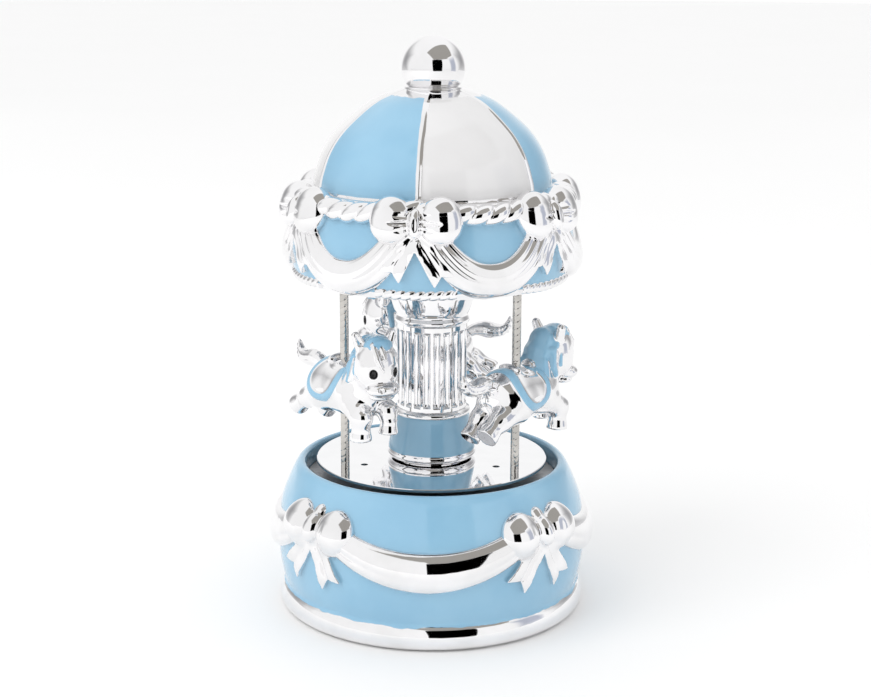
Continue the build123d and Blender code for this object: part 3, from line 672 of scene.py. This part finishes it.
def fluted_shaft():
    """Silver shaft with round-ended flutes."""
    low, high = 73.0, 99.6
    rings = 130
    pitch = 360 / 22
    z = np.linspace(SHAFT_FOOT, SHAFT_TOP, rings)
    outside = np.column_stack([np.full(rings, 12.25), z])
    profile = np.vstack([outside, [(COLUMN_BORE, SHAFT_TOP), (COLUMN_BORE, SHAFT_FOOT)]])

    def flutes(a, r, height):
        across = (a % pitch) / pitch * 2 - 1
        near_end = np.clip(np.minimum(height - low, high - height) / 1.5, 0, 1)
        hollow = np.sqrt(np.clip(1 - (across / 0.74) ** 2, 0, 1)) * np.sqrt(1 - (1 - near_end) ** 2)
        return np.where(r > 10, r - hollow, r)

    shaft = lathe("fluted_shaft", profile, "carousel", silver, 704, shape=flutes,
                  smooth_angle=70.0)
    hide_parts("column_shaft")


def pedestal():
    outline = smooth_line([(15.3, 56.0), (15.2, 57.6), (14.6, 60.6), (13.9, 64.0), (13.4, 67.6),
                           (13.3, 69.0)], 40)
    lip = smooth_line([(13.3, 69.0), (13.7, 69.7), (13.5, 70.7), (12.6, SHAFT_FOOT)], 12)
    bore = [(COLUMN_BORE, SHAFT_FOOT), (COLUMN_BORE, 56.0)]
    body = lathe("pedestal_body", np.vstack([outline, lip[1:], bore]), "carousel", pedestal_enamel,
                 240)
    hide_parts("column_pedestal")
    foot = DISC_TOP + 0.45
    moulding = smooth_line([(13.9, foot), (14.8, 53.5), (15.6, 54.6), (15.6, 55.4), (15.3, 56.0)], 20)
    profile = np.vstack([[(12.6, DISC_TOP), (12.6, foot)], moulding,
                         [(COLUMN_BORE, 56.0), (COLUMN_BORE, DISC_TOP)]])
    ring = lathe("pedestal_moulding", profile, "carousel", silver, 240)
    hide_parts("pedestal_ring")


def capital():
    outline = smooth_line([(12.3, SHAFT_TOP), (12.9, 102.0), (13.2, 103.0), (12.8, 104.0), (12.6, 104.8),
                           (13.3, 106.2), (13.9, 107.9), (14.6, 110.4), (14.9, 112.0), (14.4, 113.0),
                           (14.8, 115.4), (15.4, 117.5), (15.4, 119.5)], 70)
    profile = np.vstack([outline, [(2.0, 119.5), (2.0, 108.0), (COLUMN_BORE, SHAFT_TOP)]])
    top = lathe("capital_body", profile, "carousel", silver, 240)
    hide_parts("column_capital")


fluted_shaft()
pedestal()
capital()


# ---------------------------------------------------------------- twisted poles
POLE_TWIST = 2.3  # height over which the two grooves come round again


def pole(number):
    low, high = (1000 * np.array(corner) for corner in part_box(f"pole_{number}"))
    centre = (low + high) / 2
    z = np.linspace(low[2], high[2], 420)[:, None]
    phi = np.linspace(0, 2 * math.pi, 32, endpoint=False)[None, :]
    wave = (2 * phi - 2 * math.pi * z / POLE_TWIST) % (2 * math.pi) - math.pi
    r = 1.5 - 0.12 * np.exp(-(wave / 0.40) ** 2)
    x, y = centre[0] + r * np.cos(phi), centre[1] + r * np.sin(phi)
    points = np.stack(np.broadcast_arrays(x, y, z), axis=-1)
    rows, columns = points.shape[:2]
    faces = [f[::-1] for f in grid_faces(rows, columns, False, True)] + end_caps(rows, columns)
    rod = piece(f"twisted_pole_{number}", points.reshape(-1, 3), faces, "carousel", nickel)
    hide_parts(f"pole_{number}")


for number in (1, 2, 3):
    pole(number)


# ---------------------------------------------------------------- ponies
def mirror_y(p):
    return np.stack([p[..., 0], np.abs(p[..., 1]), p[..., 2]], axis=-1)


BLANKET = ((-3.4, 5.0), (8.6, 9.0))  # the saddle cloth's middle (x, z) and half sizes
HEAD_TURN = math.radians(10.0)
EYE = (22.7, 4.1, 9.6)
PONY_STEP = 0.42  # grid of a pony's surface


def torso_field(p):
    m = mirror_y(p)
    torso = melt(3.0, egg(p, (-1.5, 0, -0.4), (13.0, 9.9, 8.7)), ball(p, (7.0, 0, -0.8), 8.7),
                 ball(p, (-8.0, 0, 0.0), 8.9), egg(m, (-8.5, 4.4, -2.0), (6.0, 5.6, 6.6)))
    blanket = blanket_ring(p)
    rise = 0.75 * (1 / (1 + np.exp((blanket - 1.0) * 40)) - 0.55 / (1 + np.exp((blanket - 0.70) * 40)))
    return torso - rise


def blanket_ring(p):
    """Distance from the middle of the saddle cloth, 1 at its edge."""
    (x, z), (across, down) = BLANKET
    return np.sqrt(((p[..., 0] - x) / across) ** 2 + ((p[..., 2] - z) / down) ** 2)


def blanket_distance(p):
    """Negative in the blue border of the saddle cloth."""
    return (np.abs(blanket_ring(p) - 0.85) - 0.15) * 9.0


def head_frame(p):
    """The same points seen from the head, which is turned a little to the pony's right."""
    x, y = p[..., 0] - 13.0, p[..., 1]
    c, s = math.cos(HEAD_TURN), math.sin(HEAD_TURN)
    return np.stack([13.0 + c * x - s * y, s * x + c * y, p[..., 2]], axis=-1)


def head_field(p):
    neck = limb(p, (8.5, 0, 2.0), (14.2, 0, 11.8), 7.4, 5.8)
    h = head_frame(p)
    m = mirror_y(h)
    skull = melt(1.5, ball(h, (16.6, 0, 13.2), 6.9), egg(h, (18.4, 0, 9.2), (5.6, 6.3, 7.2)))
    cheek = egg(m, (16.4, 3.4, 9.4), (4.8, 3.8, 5.2))
    snout = egg(h, (21.6, 0, 4.0), (4.6, 5.8, 2.8))
    lip = egg(h, (20.6, 0, 1.5), (3.6, 4.6, 1.7))
    face = melt(0.7, melt(1.6, skull, cheek), melt(0.35, snout, lip))
    brow = limb(m, (22.6, 2.2, 12.6), (21.0, 5.2, 11.8), 0.7, 0.5)
    head = melt(0.6, melt(2.4, neck, face), brow)
    nostril = ball(m, (25.6, 2.4, 4.6), 0.75)
    socket = egg(m, EYE, (1.3, 1.3, 1.6))
    return carve(0.3, carve(0.3, head, nostril), socket)


def socket_shade_distance(p):
    """Negative in the eye sockets and nostrils, where near-black painted shade goes."""
    m = mirror_y(head_frame(p))
    return np.minimum(egg(m, EYE, (1.5, 1.5, 1.7)), ball(m, (25.8, 2.4, 4.6), 0.7))


def ear_field(p):
    m = mirror_y(head_frame(p))
    ear = limb(m, (14.8, 4.6, 17.2), (14.4, 6.6, 21.2), 2.2, 1.5)
    return carve(0.4, ear, limb(m, (16.8, 5.6, 19.0), (16.0, 6.8, 21.6), 1.2, 0.7))


def locks_field(p):
    """Silver strands: a forelock swept over the brow and two locks each side of the neck."""
    h = head_frame(p)
    m = mirror_y(p)
    forelock = np.minimum.reduce([
        limb(h, (20.0, -2.8, 18.6), (23.0, -2.6, 14.8), 1.2, 1.0),
        limb(h, (23.0, -2.6, 14.8), (24.6, -1.2, 10.6), 1.0, 0.4),
        limb(h, (21.0, -0.6, 18.2), (24.0, -0.2, 14.6), 1.2, 0.6)])
    side_locks = np.minimum(limb(m, (11.6, 5.2, 12.6), (10.6, 7.4, 5.6), 1.3, 0.6),
                            limb(m, (8.2, 4.6, 9.4), (6.6, 7.2, 3.6), 1.2, 0.5))
    return np.minimum(forelock, side_locks)


def mane_field(p):
    """A cap of hair from the forehead over the crest, ending in points down the neck."""
    m = mirror_y(p)
    h = head_frame(p)
    crest = melt(1.4, egg(h, (17.4, 0, 18.0), (5.0, 4.8, 3.4)), egg(p, (12.4, 0, 16.0), (5.0, 5.2, 4.8)),
                 egg(p, (8.8, 0, 12.2), (4.0, 5.2, 4.8)), egg(p, (6.2, 0, 7.8), (3.0, 4.8, 4.2)))
    points = np.minimum.reduce([
        limb(m, (13.4, 4.4, 15.6), (13.0, 6.9, 8.4), 2.0, 0.8),
        limb(m, (10.2, 4.4, 13.0), (9.4, 7.4, 5.6), 2.1, 0.8),
        limb(m, (7.4, 3.8, 9.6), (5.4, 7.0, 3.4), 1.9, 0.7)])
    hair = melt(0.6, crest, points)
    wave = 0.20 * np.sin(2.1 * (p[..., 0] * 0.9 - p[..., 2] * 0.45))
    return hair - wave * np.clip(np.abs(p[..., 1]) / 3.0, 0, 1)


def leg_field(p, side, joints, radii, hoof_end, hoof_radius):
    """A leg through its joints, ending in a flared flat hoof."""
    q = p * np.array([1, side, 1])
    leg = limb(q, joints[0], joints[1], radii[0], radii[1])
    for a, b, r0, r1 in zip(joints[1:], joints[2:], radii[1:], radii[2:]):
        leg = melt(1.2, leg, limb(q, a, b, r0, r1))
    a, b = np.array(joints[-1], float), np.array(hoof_end, float)
    ahead = (b - a) / np.linalg.norm(b - a)
    along = (q - a) @ ahead
    away = np.linalg.norm(q - a - along[..., None] * ahead, axis=-1)
    hoof = np.maximum(away - hoof_radius * (0.80 + 0.2 * np.clip(along / 3.2, 0, 1)),
                      np.maximum(along - np.linalg.norm(b - a), -along - 0.4)) - 0.3
    return melt(0.35, leg, hoof)


def legs_field(p):
    fore_out = leg_field(p, -1, [(9.2, 4.6, -3.4), (14.2, 5.2, -7.0), (14.0, 5.2, -10.4)], (4.6, 3.7, 3.2),
                         (13.8, 5.2, -14.4), 3.4)
    fore_in = leg_field(p, 1, [(9.0, 4.2, -3.4), (15.8, 4.4, -5.6), (17.0, 4.2, -9.2)], (4.4, 3.4, 2.9),
                        (17.0, 4.0, -12.8), 3.1)
    hind_out = leg_field(p, -1, [(-10.5, 4.6, -3.4), (-16.8, 5.0, -6.0), (-20.4, 5.0, -8.0)], (5.2, 3.8, 3.1),
                         (-24.0, 5.0, -10.4), 3.4)
    hind_in = leg_field(p, 1, [(-10.5, 4.4, -3.6), (-15.6, 4.8, -7.4), (-18.4, 4.8, -10.0)], (5.0, 3.7, 3.0),
                        (-21.2, 4.8, -13.0), 3.3)
    return np.minimum(np.minimum(fore_out, fore_in), np.minimum(hind_out, hind_in))


# Points (x, z, radius) down the middle of the tail.
TAIL_LINE = smooth_line([(-13.5, 4.0, 1.9), (-17.0, 6.0, 2.3), (-20.5, 6.4, 2.9), (-24.0, 5.8, 2.9),
                         (-27.4, 6.0, 2.2), (-29.6, 8.0, 1.4), (-30.2, 10.6, 0.6)], 14)


def tail_field(p):
    """A leaf-shaped tail whose tip flicks up, with strands along it."""
    tail = np.minimum.reduce([limb(p, (x0, 0, z0), (x1, 0, z1), r0, r1)
                              for (x0, z0, r0), (x1, z1, r1) in zip(TAIL_LINE, TAIL_LINE[1:])])
    level = np.interp(-p[..., 0], -TAIL_LINE[:, 0], TAIL_LINE[:, 1])
    return tail + 0.16 * np.cos(2.6 * (p[..., 2] - level)) - 0.1


def saddle_field(p):
    return melt(0.6, egg(p, (-1.2, 0, 7.4), (6.0, 5.8, 2.4)), egg(p, (-6.0, 0, 9.0), (1.8, 4.8, 2.0)),
                egg(p, (3.6, 0, 8.8), (1.6, 2.8, 2.0)))


def pony_fields(p):
    body = melt(1.3, torso_field(p), legs_field(p))
    body = melt(1.6, body, head_field(p))
    body = melt(0.5, melt(0.8, body, ear_field(p)), tail_field(p))
    return melt(0.4, body, saddle_field(p)), mane_field(p), locks_field(p)


def pony_field(p):
    body, hair, locks = pony_fields(p)
    return melt(0.3, melt(0.25, body, hair), locks)


def ponies():
    points, faces = surface(pony_field, (-32, -11.8, -17), (29, 11.8, 24), PONY_STEP)
    body, hair, locks = pony_fields(points)
    near_torso = torso_field(points) < 0.9
    mane = np.maximum(hair - body, hair - locks)
    blue = np.minimum(mane, np.where(near_torso, blanket_distance(points), 5.0))
    blue = np.where(saddle_field(points) < 0.25, np.maximum(blue, 0.6), blue)
    # The dark attribute is painted shade: near-black in the carved eye sockets and nostrils.
    dark = socket_shade_distance(points)
    points = points + np.array([POLE_BEHIND, 0, 0])
    first = piece("pony_1", points, faces, "carousel", horse_paint, 80.0)
    for name, values in (("blue", blue), ("dark", dark)):
        attribute = first.data.attributes.new(name, "FLOAT", "POINT")
        attribute.data.foreach_set("value", values.astype(np.float32))
    for number, (angle, height, yaw) in enumerate(zip(POLE_ANGLES, HORSE_Z, HORSE_YAW), 1):
        low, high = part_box(f"pole_{number}")
        turn = math.radians(angle + yaw)
        place = np.array([(low[0] + high[0]) / 2, (low[1] + high[1]) / 2, height * MM])
        c, s = math.cos(turn), math.sin(turn)
        spin = np.array([[c, -s, 0], [s, c, 0], [0, 0, 1]])
        if number == 1:
            pony = first
        else:
            pony = bpy.data.objects.new(f"pony_{number}", first.data.copy())
            bpy.context.scene.collection.objects.link(pony)
        turned = points * MM @ spin.T + place
        pony.data.vertices.foreach_set("co", turned.astype(np.float32).ravel())
        pony.data.update()
        if number > 1:
            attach(pony, "carousel")
        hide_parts(f"horse_{number}")


ponies()

# ---------------------------------------------------------------- finishes on the nodes kept from the frame
KEPT = {
    mirror: ["mirror_disc"],
    dark_paint: ["base_plate"],
    felt: ["felt_ring"],
    zinc: ["bedplate", "comb_heel", "turntable_hub", "deck"],
    brass: ["deck_bush", "spring_barrel", "barrel_cover", "inner_bearing_post", "outer_bearing_post",
            "governor_post", "governor_frame", "music_cylinder", "cylinder_pinion", "cylinder_wheel",
            "governor_pinion", "worm_wheel", "air_brake"],
    steel: ["base_plate_screws", "deck_screws", "winding_key", "winding_arbor", "clutch_spring", "mainspring",
            "drive_spindle", "bedplate_screws", "comb", "comb_screws", "governor_screw", "cylinder_shaft",
            "governor_shaft", "worm", "tie_rod", "pole_nuts_lower", "pole_nuts_upper", "canopy_ceiling",
            "ceiling_screws"],
}
for material, names in KEPT.items():
    for name in names:
        node = frame["nodes"][name]
        node.data.materials.clear()
        node.data.materials.append(material)


# ---------------------------------------------------------------- studio
def stage_material(name, color, half_width, half_height, fade):
    """Glows in one colour that fades to white over the outer part of a card."""
    g = Graph(name)
    x, y, _ = g.axes()
    across = g.math("ABSOLUTE", g.math("DIVIDE", x, half_width))
    up = g.math("ABSOLUTE", g.math("DIVIDE", y, half_height))
    edge = g.math("MAXIMUM", across, up)
    emission = g.nodes.new("ShaderNodeEmission")
    g.plug(g.tint(g.ramp(edge, 1.0 - fade, 1.0), color, (1.0, 1.0, 1.0)), emission.inputs["Color"])
    return g.finish(emission.outputs[0])


def card(name, centre, normal_to, width, height, color, fade):
    """A studio card that only reflections see."""
    mesh = bpy.data.meshes.new(name)
    w, h = width / 2, height / 2
    mesh.from_pydata([(-w, -h, 0), (w, -h, 0), (w, h, 0), (-w, h, 0)], [], [(0, 1, 2, 3)])
    mesh.materials.append(stage_material(name, color, w, h, fade))
    thing = bpy.data.objects.new(name, mesh)
    bpy.context.scene.collection.objects.link(thing)
    thing.location = centre
    direction = np.array(normal_to) - np.array(centre)
    thing.rotation_euler = Vector(direction).to_track_quat("Z", "Y").to_euler()
    thing.visible_camera = False
    thing.visible_diffuse = False
    thing.visible_shadow = False


def floor():
    segments = 96
    radius = 6
    turns = [2 * math.pi * i / segments for i in range(segments)]
    mesh = bpy.data.meshes.new("studio_floor")
    points = [(radius * math.cos(turn), radius * math.sin(turn), 0) for turn in turns]
    mesh.from_pydata(points, [], [tuple(range(segments))])
    g = Graph("floor_paper")
    color = g.tint(g.noise(4.0), (0.94, 0.94, 0.94), (0.955, 0.955, 0.955))
    mesh.materials.append(g.finish(g.shader(color, 0.9)))
    thing = bpy.data.objects.new("studio_floor", mesh)
    bpy.context.scene.collection.objects.link(thing)


def area_light(name, location, size, power, color):
    data = bpy.data.lights.new(name, "AREA")
    data.shape = "RECTANGLE"
    data.size = size
    data.size_y = size
    data.energy = power
    data.color = color
    lamp = bpy.data.objects.new(name, data)
    bpy.context.scene.collection.objects.link(lamp)
    lamp.location = location
    lamp.rotation_euler = (Vector((0, 0, 0.1)) - Vector(location)).to_track_quat("-Z", "Y").to_euler()
    lamp.visible_glossy = False


def world():
    scene = bpy.context.scene
    scene.world = bpy.data.worlds.new("studio")
    scene.world.use_nodes = True
    background = scene.world.node_tree.nodes["Background"]
    background.inputs["Color"].default_value = (1.0, 1.0, 1.0, 1.0)
    background.inputs["Strength"].default_value = 1.0
    scene.view_settings.view_transform = "Standard"
    scene.view_settings.look = "None"


CAMERA_DOWN = 13.40  # degrees below level
CAMERA_ROLL = 0.0045  # radians


def camera():
    data = bpy.data.cameras.new("photo_camera")
    data.sensor_width = 36.0
    data.lens = 71.67
    data.shift_x = 0.0040
    data.clip_start = 0.01
    eye = bpy.data.objects.new("photo_camera", data)
    bpy.context.scene.collection.objects.link(eye)
    eye.location = (0.0, -0.5916, 0.2326)
    pitch = Matrix.Rotation(math.radians(90 - CAMERA_DOWN), 4, "X")
    roll = Matrix.Rotation(CAMERA_ROLL, 4, "Z")
    eye.rotation_euler = (pitch @ roll).to_euler()
    bpy.context.scene.camera = eye


floor()
world()
area_light("key_left", (-0.9, -0.7, 1.1), 1.0, 6.0, (1.0, 0.995, 0.985))
card("dark_behind_camera", (0.30, -1.1, 0.36), (0, 0, 0.12), 0.74, 1.0, (0, 0, 0), 0.04)
card("grey_overhead", (0.45, -0.5, 1.25), (0, 0, 0.15), 1.9, 1.3, (0.37, 0.355, 0.33), 0.12)
card("cool_right", (1.1, -0.25, 0.35), (0, 0, 0.12), 0.6, 1.1, (0.50, 0.53, 0.62), 0.6)
card("grey_left_rear", (-1.2, 0.9, 0.5), (0, 0, 0.15), 2.1, 1.9, (0.38, 0.38, 0.39), 0.95)
card("grey_right_rear", (1.2, 0.9, 0.5), (0, 0, 0.15), 2.1, 1.9, (0.38, 0.38, 0.39), 0.95)
camera()
